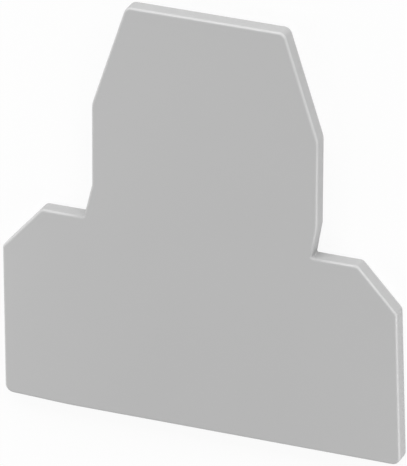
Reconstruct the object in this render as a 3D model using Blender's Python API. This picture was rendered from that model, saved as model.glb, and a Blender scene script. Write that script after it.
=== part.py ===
"""Spacer plate for two-level rail terminals: one flat moulded piece, a tower on a wider foot.

The plate lies on its back face, with its front face up. X runs across it, Y from the foot edge to the
top of the tower, and Z through its thickness. The origin is under the middle of the outline.
"""

import math

import bpy
from mathutils import Matrix, Vector

# Driving dimensions, in metres. Reaches are measured sideways from the tower's centre line,
# heights up from the foot edge.
THICKNESS = 0.0025
RIM_RADIUS = 0.00035

PLATE_HEIGHT = 0.05895
TOWER_TOP_WIDTH = 0.0219
TOWER_WIDTH = 0.0314
TOWER_SLANT_HEIGHT = 0.01455

SHOULDER_HEIGHT_RIGHT = 0.0278
SHOULDER_HEIGHT_LEFT = 0.028
NECK_HEIGHT_RIGHT = 0.00445
NECK_HEIGHT_LEFT = 0.00485
NECK_INSET_RIGHT = 0.00075
NECK_FLARE_LEFT = 0.00115

CORNER_CUT_HEIGHT_RIGHT = 0.00595
CORNER_CUT_HEIGHT_LEFT = 0.0063
SHOULDER_REACH_RIGHT = 0.02135
SHOULDER_REACH_LEFT = 0.02285
SIDE_REACH_RIGHT = 0.02685
SIDE_REACH_LEFT = 0.0284
FOOT_REACH_RIGHT = 0.02765
FOOT_REACH_LEFT = 0.02815
FOOT_LIFT_LEFT = 0.00035
FOOT_LIFT_LENGTH = 0.009

TOP_CORNER_RADIUS = 0.0011
TOWER_BEND_RADIUS = 0.003
NECK_BEND_RADIUS = 0.002
NOTCH_RADIUS = 0.00025
SHOULDER_CORNER_RADIUS = 0.0008
SIDE_CORNER_RADIUS = 0.0008
FOOT_CORNER_RADIUS = 0.00115
FOOT_LIFT_RADIUS = 0.06

# How finely the round stretches are cut into facets, and how much of an edge one rounding may use
ARC_STEP = math.radians(11)
RIM_RESOLUTION = 2
LARGEST_EDGE_SHARE = 0.45

PLASTIC_GREY = (0.474, 0.474, 0.474, 1.0)
PLASTIC_ROUGHNESS = 0.5


def clear_scene():
    for obj in list(bpy.data.objects):
        bpy.data.objects.remove(obj, do_unlink=True)


def foot_corners(sign, foot_reach, foot_lift, side_reach, shoulder_reach, shoulder_height, cut_height):
    """One side's sharp corners from the foot to the shoulder, each with the radius that rounds it."""
    return [
        (Vector((sign * foot_reach, foot_lift)), FOOT_CORNER_RADIUS),
        (Vector((sign * side_reach, shoulder_height - cut_height)), SIDE_CORNER_RADIUS),
        (Vector((sign * shoulder_reach, shoulder_height)), SHOULDER_CORNER_RADIUS),
    ]


def tower_corners(sign, neck_reach, shoulder_height, neck_height):
    """One side's sharp corners from the shoulder to the tower's top, each with its radius."""
    return [
        (Vector((sign * neck_reach, shoulder_height)), NOTCH_RADIUS),
        (Vector((sign * TOWER_WIDTH / 2, shoulder_height + neck_height)), NECK_BEND_RADIUS),
        (Vector((sign * TOWER_WIDTH / 2, PLATE_HEIGHT - TOWER_SLANT_HEIGHT)), TOWER_BEND_RADIUS),
        (Vector((sign * TOWER_TOP_WIDTH / 2, PLATE_HEIGHT)), TOP_CORNER_RADIUS),
    ]


def sharp_outline():
    """The whole outline's corners, anticlockwise as seen on the front face."""
    right = foot_corners(
        1,
        FOOT_REACH_RIGHT,
        0,
        SIDE_REACH_RIGHT,
        SHOULDER_REACH_RIGHT,
        SHOULDER_HEIGHT_RIGHT,
        CORNER_CUT_HEIGHT_RIGHT,
    )
    right += tower_corners(
        1,
        TOWER_WIDTH / 2 - NECK_INSET_RIGHT,
        SHOULDER_HEIGHT_RIGHT,
        NECK_HEIGHT_RIGHT,
    )
    left = foot_corners(
        -1,
        FOOT_REACH_LEFT,
        FOOT_LIFT_LEFT,
        SIDE_REACH_LEFT,
        SHOULDER_REACH_LEFT,
        SHOULDER_HEIGHT_LEFT,
        CORNER_CUT_HEIGHT_LEFT,
    )
    left += tower_corners(
        -1,
        TOWER_WIDTH / 2 + NECK_FLARE_LEFT,
        SHOULDER_HEIGHT_LEFT,
        NECK_HEIGHT_LEFT,
    )
    lift_end = (Vector((FOOT_LIFT_LENGTH - FOOT_REACH_LEFT, 0)), FOOT_LIFT_RADIUS)
    return right + left[::-1] + [lift_end]


def rounded_corner(before, corner, after, radius):
    """Points of the arc that rounds one corner, from the edge before it to the edge after it."""
    to_before = before - corner
    to_after = after - corner
    longest = LARGEST_EDGE_SHARE * min(to_before.length, to_after.length)
    to_before.normalize()
    to_after.normalize()
    half_angle = math.acos(max(-1.0, min(1.0, to_before.dot(to_after)))) / 2
    setback = min(radius / math.tan(half_angle), longest)
    centre = corner + (to_before + to_after).normalized() * setback / math.cos(half_angle)
    spoke = corner + to_before * setback - centre
    turn = math.pi - 2 * half_angle
    steps = max(2, math.ceil(turn / ARC_STEP))
    way = 1 if to_before.x * to_after.y < to_before.y * to_after.x else -1
    return [
        centre + Matrix.Rotation(way * turn * step / steps, 2) @ spoke
        for step in range(steps + 1)
    ]


def rounded_outline():
    """The outline with its corners rounded, moved so that its bounding box is centred on the origin."""
    corners = sharp_outline()
    points = []
    for index, (corner, radius) in enumerate(corners):
        before = corners[index - 1][0]
        after = corners[(index + 1) % len(corners)][0]
        points += rounded_corner(before, corner, after, radius)
    across = [point.x for point in points]
    along = [point.y for point in points]
    middle = Vector((min(across) + max(across), min(along) + max(along))) / 2
    return [point - middle for point in points]


def plastic_material():
    material = bpy.data.materials.new("grey_plastic")
    material.use_nodes = True
    shader = material.node_tree.nodes["Principled BSDF"]
    shader.inputs["Base Color"].default_value = PLASTIC_GREY
    shader.inputs["Roughness"].default_value = PLASTIC_ROUGHNESS
    shader.inputs["Metallic"].default_value = 0.0
    return material


def spacer_plate(collection, material):
    """The plate: its outline extruded to the thickness, with both rims rounded inside the outline."""
    points = rounded_outline()
    curve = bpy.data.curves.new("spacer_plate", "CURVE")
    curve.dimensions = "2D"
    curve.fill_mode = "BOTH"
    curve.offset = -RIM_RADIUS
    curve.extrude = THICKNESS / 2 - RIM_RADIUS
    curve.bevel_depth = RIM_RADIUS
    curve.bevel_resolution = RIM_RESOLUTION
    spline = curve.splines.new("POLY")
    spline.points.add(len(points) - 1)
    for spline_point, point in zip(spline.points, points):
        spline_point.co = (point.x, point.y, 0, 1)
    spline.use_cyclic_u = True
    curve.materials.append(material)

    plate = bpy.data.objects.new("spacer_plate", curve)
    plate.location.z = THICKNESS / 2
    collection.objects.link(plate)


def main():
    clear_scene()
    collection = bpy.data.collections.new("terminal_spacer_plate")
    bpy.context.scene.collection.children.link(collection)
    spacer_plate(collection, plastic_material())


main()
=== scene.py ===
"""The looks of a terminal block spacer plate: one flat grey moulding that lies on a pale floor.

It lies on its back face, as the CAD plate does: X runs across it, Y from its foot to the top of its
tower, and Z up through its thickness. Every length is in metres.
"""

import math

import bmesh
import bpy
from mathutils import Euler, Matrix, Vector


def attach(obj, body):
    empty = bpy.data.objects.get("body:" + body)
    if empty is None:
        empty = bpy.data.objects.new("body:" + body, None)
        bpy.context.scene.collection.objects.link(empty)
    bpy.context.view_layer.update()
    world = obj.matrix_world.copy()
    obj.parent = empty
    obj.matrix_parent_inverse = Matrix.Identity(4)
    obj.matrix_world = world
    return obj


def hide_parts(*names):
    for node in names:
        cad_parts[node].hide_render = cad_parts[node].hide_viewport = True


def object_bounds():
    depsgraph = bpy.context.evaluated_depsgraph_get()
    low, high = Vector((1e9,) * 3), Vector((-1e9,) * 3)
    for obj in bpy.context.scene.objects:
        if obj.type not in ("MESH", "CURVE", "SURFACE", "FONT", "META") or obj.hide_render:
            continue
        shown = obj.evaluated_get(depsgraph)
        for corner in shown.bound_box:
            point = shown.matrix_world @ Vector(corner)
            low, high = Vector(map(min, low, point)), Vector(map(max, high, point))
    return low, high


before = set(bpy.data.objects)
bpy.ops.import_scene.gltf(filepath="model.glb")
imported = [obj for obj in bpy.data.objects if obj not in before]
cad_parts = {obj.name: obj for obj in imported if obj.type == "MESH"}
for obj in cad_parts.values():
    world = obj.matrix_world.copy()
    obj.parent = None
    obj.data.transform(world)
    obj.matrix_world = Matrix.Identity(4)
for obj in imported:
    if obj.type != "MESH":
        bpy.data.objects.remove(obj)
cad_low, cad_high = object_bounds()

# The plate
PLATE_NODE = "spacer_plate"
PLATE_BODY = "root"
THICKNESS = cad_high.z - cad_low.z
MIDDLE_HEIGHT = (cad_low.z + cad_high.z) / 2
WELD_DISTANCE = 0.00001
UPRIGHT_NORMAL = 0.02
FLAT_ANGLE = math.radians(0.1)
RIM_ANGLE = math.radians(60)
RIM_SEGMENTS = 6
LEVEL_SHADING_WEIGHT = 100

# From one facet to the next, only the two notches bend inwards by more than this.
NOTCH_BEND = math.radians(8)

# The finish of the plastic: greys as linear values, sizes of what varies over it, and its roughness
FACE_GREY_DARKER = 0.468
FACE_GREY_LIGHTER = 0.480
# The rims' lighter grey is a painted highlight along the rounded rims.
PAINTED_RIM_HIGHLIGHT_GREY = 0.60
TONE_PATCH = 0.014
TONE_DETAIL = 2
FACE_ROUGHNESS_LOWEST = 0.54
FACE_ROUGHNESS_HIGHEST = 0.62
RIM_ROUGHNESS = 0.24
SHEEN_PATCH = 0.004
SHEEN_DETAIL = 3
GRAIN_SIZE = 0.00016
GRAIN_DEPTH = 0.000004
GRAIN_DETAIL = 2

# The wear of the rims, which smooths them and also carries their painted highlight, with the distances
# from a notch at which it starts and is full.
# The middle of a rim is worn no further than fully, so wear above 1 only makes the worn band wider.
WEAR_AND_HIGHLIGHT_PATCH = 0.0025
WEAR_AND_HIGHLIGHT_DETAIL = 2
WEAR_AND_HIGHLIGHT_LEAST = 0.6
WEAR_AND_HIGHLIGHT_MOST = 1.4
WEAR_AND_HIGHLIGHT_STARTS = 0.0005
WEAR_AND_HIGHLIGHT_FULL = 0.003

# The camera stands over the plate. Seen with the tower upright, it looks from the right and from above.
VIEW_TURN = math.radians(21.541)
VIEW_RISE = math.radians(25.758)
VIEW_ROLL = math.radians(0.244)
VIEW_CENTRE = Vector((-0.000077, -0.001378, 0.00125))
VIEW_DISTANCE = 1.0397
PICTURE_HEIGHT_PIXELS = 466
FOCAL_LENGTH_PIXELS = 8000
SENSOR_MILLIMETRES = 36

# The studio
WHITE = (1, 1, 1, 1)
FLOOR_SIDE = 8.0
FLOOR_GAP = 0.00002
FLOOR_GREY = 0.9
FLOOR_SHOWN_WHITE = 0.9
WORLD_LIGHT = 0.3
LIGHT_SIZE_SHARE = 0.6


def link(name, data):
    """A new object in the scene that holds the given data."""
    made = bpy.data.objects.new(name, data)
    bpy.context.scene.collection.objects.link(made)
    return made


def make_active(piece):
    bpy.ops.object.select_all(action="DESELECT")
    piece.select_set(True)
    bpy.context.view_layer.objects.active = piece


def select_in_edit_mode(kind, wanted):
    """Selects the vertices or faces of the mesh being edited that the test picks, and nothing else."""
    bpy.ops.mesh.select_mode(type=kind)
    bpy.ops.mesh.select_all(action="DESELECT")
    mesh = bpy.context.edit_object.data
    editing = bmesh.from_edit_mesh(mesh)
    elements = editing.faces if kind == "FACE" else editing.verts
    for element in elements:
        element.select_set(wanted(element))
    editing.select_flush_mode()
    bmesh.update_edit_mesh(mesh)


def apply_modifiers(piece):
    make_active(piece)
    for name in [modifier.name for modifier in piece.modifiers]:
        bpy.ops.object.modifier_apply(modifier=name)


def rim_height():
    """How far the CAD plate's rounded rims reach in from its two faces, which is also their radius."""
    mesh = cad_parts[PLATE_NODE].data
    walls = [face for face in mesh.polygons if abs(face.normal.z) < UPRIGHT_NORMAL]
    wall_tops = [mesh.vertices[index].co.z for face in walls for index in face.vertices]
    return cad_high.z - max(wall_tops)


def square_edged_plate(rim):
    """The CAD plate's side wall, drawn out to its full thickness and closed with two flat faces."""
    plate = link("plate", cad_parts[PLATE_NODE].data.copy())
    plate.data.materials.clear()
    make_active(plate)
    bpy.ops.object.mode_set(mode="EDIT")
    bpy.ops.mesh.select_all(action="SELECT")
    bpy.ops.mesh.remove_doubles(threshold=WELD_DISTANCE)
    select_in_edit_mode("FACE", lambda face: abs(face.normal.z) > UPRIGHT_NORMAL)
    bpy.ops.mesh.delete(type="FACE")

    for way in (1, -1):
        select_in_edit_mode("VERT", lambda vert: (vert.co.z - MIDDLE_HEIGHT) * way > 0)
        bpy.ops.transform.translate(value=(0, 0, way * rim))

    bpy.ops.mesh.select_all(action="SELECT")
    bpy.ops.mesh.fill_holes(sides=0)
    bpy.ops.mesh.select_all(action="SELECT")
    bpy.ops.mesh.dissolve_limited(angle_limit=FLAT_ANGLE)
    bpy.ops.mesh.select_all(action="SELECT")
    bpy.ops.mesh.normals_make_consistent(inside=False)
    bpy.ops.object.mode_set(mode="OBJECT")
    return plate


def notch_places(plate):
    """The middles of the sharp inner corners on the right and on the left, in the plane of the plate."""
    mesh = bmesh.new()
    mesh.from_mesh(plate.data)
    inner = [edge.verts[0].co for edge in mesh.edges if edge.calc_face_angle_signed() < -NOTCH_BEND]
    sides = [[place.xy for place in inner if place.x * way > 0] for way in (1, -1)]
    mesh.free()
    return [(sum(places, Vector((0, 0))) / len(places)).to_3d() for places in sides]


def round_the_rims(plate, rim):
    """Rounds both rims finely, and keeps the shading of the flat faces and walls level."""
    make_active(plate)
    bpy.ops.object.shade_smooth()
    rims = plate.modifiers.new("rounded_rims", "BEVEL")
    rims.width = rim
    rims.segments = RIM_SEGMENTS
    rims.use_clamp_overlap = False
    rims.limit_method = "ANGLE"
    rims.angle_limit = RIM_ANGLE
    level = plate.modifiers.new("level_shading", "WEIGHTED_NORMAL")
    level.mode = "FACE_AREA"
    level.weight = LEVEL_SHADING_WEIGHT
    apply_modifiers(plate)


def build_plate():
    rim = rim_height()
    plate = square_edged_plate(rim)
    notches = notch_places(plate)
    round_the_rims(plate, rim)
    plate.data.materials.append(plastic_material(rim, notches))
    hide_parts(PLATE_NODE)
    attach(plate, PLATE_BODY)


def new_material(name):
    """A material that has only its Principled shader, and that shader."""
    material = bpy.data.materials.new(name)
    material.use_nodes = True
    return material, material.node_tree.nodes["Principled BSDF"]


def feed(tree, socket, value):
    """Gives one input a value, which is another node's socket or a plain number."""
    if isinstance(value, bpy.types.NodeSocket):
        tree.links.new(value, socket)
    else:
        socket.default_value = value


def noise(tree, coordinates, feature_size, detail):
    """Noise over the piece with features of about the given size."""
    texture = tree.nodes.new("ShaderNodeTexNoise")
    texture.inputs["Scale"].default_value = 1 / feature_size
    texture.inputs["Detail"].default_value = detail
    tree.links.new(coordinates, texture.inputs["Vector"])
    return texture.outputs["Fac"]


def math_step(tree, operation, first, second):
    """One Math node, whose inputs are sockets or plain numbers."""
    step = tree.nodes.new("ShaderNodeMath")
    step.operation = operation
    feed(tree, step.inputs[0], first)
    feed(tree, step.inputs[1], second)
    return step.outputs[0]


def between(tree, low, high, share):
    """A number that goes from low to high as the share goes from 0 to 1."""
    ramp = tree.nodes.new("ShaderNodeMapRange")
    feed(tree, ramp.inputs["Value"], share)
    feed(tree, ramp.inputs["To Min"], low)
    feed(tree, ramp.inputs["To Max"], high)
    return ramp.outputs["Result"]


def mixed_shaders(tree, share, first, second):
    """The first shader where the share is 0, and the second where it is 1."""
    mix = tree.nodes.new("ShaderNodeMixShader")
    tree.links.new(share, mix.inputs["Fac"])
    tree.links.new(first, mix.inputs[1])
    tree.links.new(second, mix.inputs[2])
    return mix.outputs["Shader"]


def rim_mask(tree, coordinates, rim):
    """0 on the flat faces and the wall, and up to 1 halfway up both rounded rims."""
    split = tree.nodes.new("ShaderNodeSeparateXYZ")
    tree.links.new(coordinates, split.inputs["Vector"])
    from_middle = math_step(tree, "SUBTRACT", split.outputs["Z"], MIDDLE_HEIGHT)
    height = math_step(tree, "ABSOLUTE", from_middle, 0)
    above_wall = math_step(tree, "SUBTRACT", height, THICKNESS / 2 - rim)
    way_up = math_step(tree, "DIVIDE", above_wall, rim)
    way_left = math_step(tree, "SUBTRACT", 1, way_up)
    both = math_step(tree, "MULTIPLY", math_step(tree, "MAXIMUM", way_up, 0), way_left)
    # Halfway up, both ways are a half and their product is a quarter.
    return math_step(tree, "MULTIPLY", both, 4)


def wear_and_highlight_beyond(tree, coordinates, place):
    """0 around a place in the plane of the plate, and 1 further out, at every height."""
    flattened = tree.nodes.new("ShaderNodeVectorMath")
    flattened.operation = "MULTIPLY"
    flattened.inputs[1].default_value = (1, 1, 0)
    tree.links.new(coordinates, flattened.inputs[0])
    distance = tree.nodes.new("ShaderNodeVectorMath")
    distance.operation = "DISTANCE"
    distance.inputs[1].default_value = place
    tree.links.new(flattened.outputs["Vector"], distance.inputs[0])
    ramp = tree.nodes.new("ShaderNodeMapRange")
    ramp.inputs["From Min"].default_value = WEAR_AND_HIGHLIGHT_STARTS
    ramp.inputs["From Max"].default_value = WEAR_AND_HIGHLIGHT_FULL
    tree.links.new(distance.outputs["Value"], ramp.inputs["Value"])
    return ramp.outputs["Result"]


def rim_wear_and_painted_highlight(tree, coordinates, rim, notches):
    """How far the rims are rubbed smooth and painted lighter as a highlight: unevenly along the outline,
    and hardly in its notches.
    """
    wear_and_highlight = rim_mask(tree, coordinates, rim)
    for place in notches:
        wear_and_highlight = math_step(tree, "MULTIPLY", wear_and_highlight, wear_and_highlight_beyond(tree, coordinates, place))
    patches = noise(tree, coordinates, WEAR_AND_HIGHLIGHT_PATCH, WEAR_AND_HIGHLIGHT_DETAIL)
    return math_step(tree, "MULTIPLY", wear_and_highlight, between(tree, WEAR_AND_HIGHLIGHT_LEAST, WEAR_AND_HIGHLIGHT_MOST, patches))


def plastic_material(rim, notches):
    """Matt grey plastic: a fine grain from the mould, slow patches of tone, and smoother rims with a
    painted highlight.
    """
    material, shader = new_material("grey_moulded_plastic")
    tree = material.node_tree
    coordinates = tree.nodes.new("ShaderNodeTexCoord").outputs["Object"]
    wear_and_highlight_on_rim = rim_wear_and_painted_highlight(tree, coordinates, rim, notches)

    patches = noise(tree, coordinates, TONE_PATCH, TONE_DETAIL)
    grey = between(tree, FACE_GREY_DARKER, FACE_GREY_LIGHTER, patches)
    # The lighter rim grey is a painted highlight; the smoother rim roughness below is real wear.
    tree.links.new(between(tree, grey, PAINTED_RIM_HIGHLIGHT_GREY, wear_and_highlight_on_rim), shader.inputs["Base Color"])

    sheen = noise(tree, coordinates, SHEEN_PATCH, SHEEN_DETAIL)
    roughness = between(tree, FACE_ROUGHNESS_LOWEST, FACE_ROUGHNESS_HIGHEST, sheen)
    tree.links.new(between(tree, roughness, RIM_ROUGHNESS, wear_and_highlight_on_rim), shader.inputs["Roughness"])

    grain = tree.nodes.new("ShaderNodeBump")
    grain.inputs["Distance"].default_value = GRAIN_DEPTH
    tree.links.new(noise(tree, coordinates, GRAIN_SIZE, GRAIN_DETAIL), grain.inputs["Height"])
    tree.links.new(grain.outputs["Normal"], shader.inputs["Normal"])
    return material


def seen_directly(tree):
    """1 for what the camera sees, directly or in gloss and glass, and 0 for light on its way."""
    path = tree.nodes.new("ShaderNodeLightPath").outputs
    seen = math_step(tree, "MAXIMUM", path["Is Camera Ray"], path["Is Glossy Ray"])
    return math_step(tree, "MAXIMUM", seen, path["Is Transmission Ray"])


def floor_material():
    """Pale paper that looks nearly white, and still shows the plate's soft shadow."""
    material, shader = new_material("pale_floor")
    tree = material.node_tree
    shader.inputs["Base Color"].default_value = (FLOOR_GREY, FLOOR_GREY, FLOOR_GREY, 1)
    shader.inputs["Roughness"].default_value = 1
    shader.inputs["Specular IOR Level"].default_value = 0
    white = tree.nodes.new("ShaderNodeEmission").outputs["Emission"]
    shown_white = math_step(tree, "MULTIPLY", seen_directly(tree), FLOOR_SHOWN_WHITE)
    surface = mixed_shaders(tree, shown_white, shader.outputs["BSDF"], white)
    tree.links.new(surface, tree.nodes["Material Output"].inputs["Surface"])
    return material


def lay_floor():
    bpy.ops.object.select_all(action="DESELECT")
    bpy.ops.mesh.primitive_plane_add(size=FLOOR_SIDE, location=(0, 0, cad_low.z - FLOOR_GAP))
    floor = bpy.context.object
    floor.name = "floor"
    floor.data.materials.append(floor_material())


def light_the_world():
    """Even light from all round, behind which the camera sees white."""
    world = bpy.data.worlds.new("studio")
    bpy.context.scene.world = world
    world.use_nodes = True
    tree = world.node_tree
    even = tree.nodes["Background"]
    even.inputs["Color"].default_value = WHITE
    even.inputs["Strength"].default_value = WORLD_LIGHT
    white = tree.nodes.new("ShaderNodeBackground")
    white.inputs["Color"].default_value = WHITE
    shaders = (even.outputs["Background"], white.outputs["Background"])
    surface = mixed_shaders(tree, seen_directly(tree), *shaders)
    tree.links.new(surface, tree.nodes["World Output"].inputs["Surface"])


def soft_light(name, way_round, rise, distance, watts, stretch=1):
    """A soft light that faces the plate, at an angle round from +X to +Y and up from the floor.

    It is square, unless it is stretched sideways.
    """
    lamp = bpy.data.lights.new(name, "AREA")
    lamp.shape = "RECTANGLE"
    lamp.size = distance * LIGHT_SIZE_SHARE * stretch
    lamp.size_y = distance * LIGHT_SIZE_SHARE
    lamp.energy = watts
    light = link(name, lamp)
    outward = Vector((distance, 0, 0))
    outward.rotate(Euler((0, -math.radians(rise), math.radians(way_round))))
    light.location = outward
    light.rotation_euler = outward.to_track_quat("Z", "Y").to_euler()
    light.visible_camera = False


def light_the_studio():
    """A wide light beyond the tower's top, a weaker one to the right of it, and three small near ones."""
    light_the_world()
    soft_light("top_light", way_round=90, rise=30, distance=0.5, watts=1.98, stretch=2.5)
    soft_light("right_light", way_round=45, rise=30, distance=0.5, watts=0.32)
    soft_light("near_top_light", way_round=90, rise=30, distance=0.12, watts=0.009)
    soft_light("near_left_light", way_round=195, rise=30, distance=0.15, watts=0.074)
    soft_light("near_right_light", way_round=330, rise=25, distance=0.15, watts=0.07)


def set_camera():
    """A long lens, turned and raised about the plate's middle, with the tower's top up in the picture."""
    camera = link("camera", bpy.data.cameras.new("camera"))
    turned = Euler((-VIEW_RISE, VIEW_TURN, VIEW_ROLL), "ZXY").to_matrix().to_4x4()
    place = VIEW_CENTRE + turned.col[2].to_3d() * VIEW_DISTANCE
    camera.matrix_world = Matrix.Translation(place) @ turned
    camera.data.sensor_width = SENSOR_MILLIMETRES
    camera.data.lens = SENSOR_MILLIMETRES * FOCAL_LENGTH_PIXELS / PICTURE_HEIGHT_PIXELS
    bpy.context.scene.camera = camera


bpy.context.scene.view_settings.view_transform = "Standard"
build_plate()
lay_floor()
light_the_studio()
set_camera()
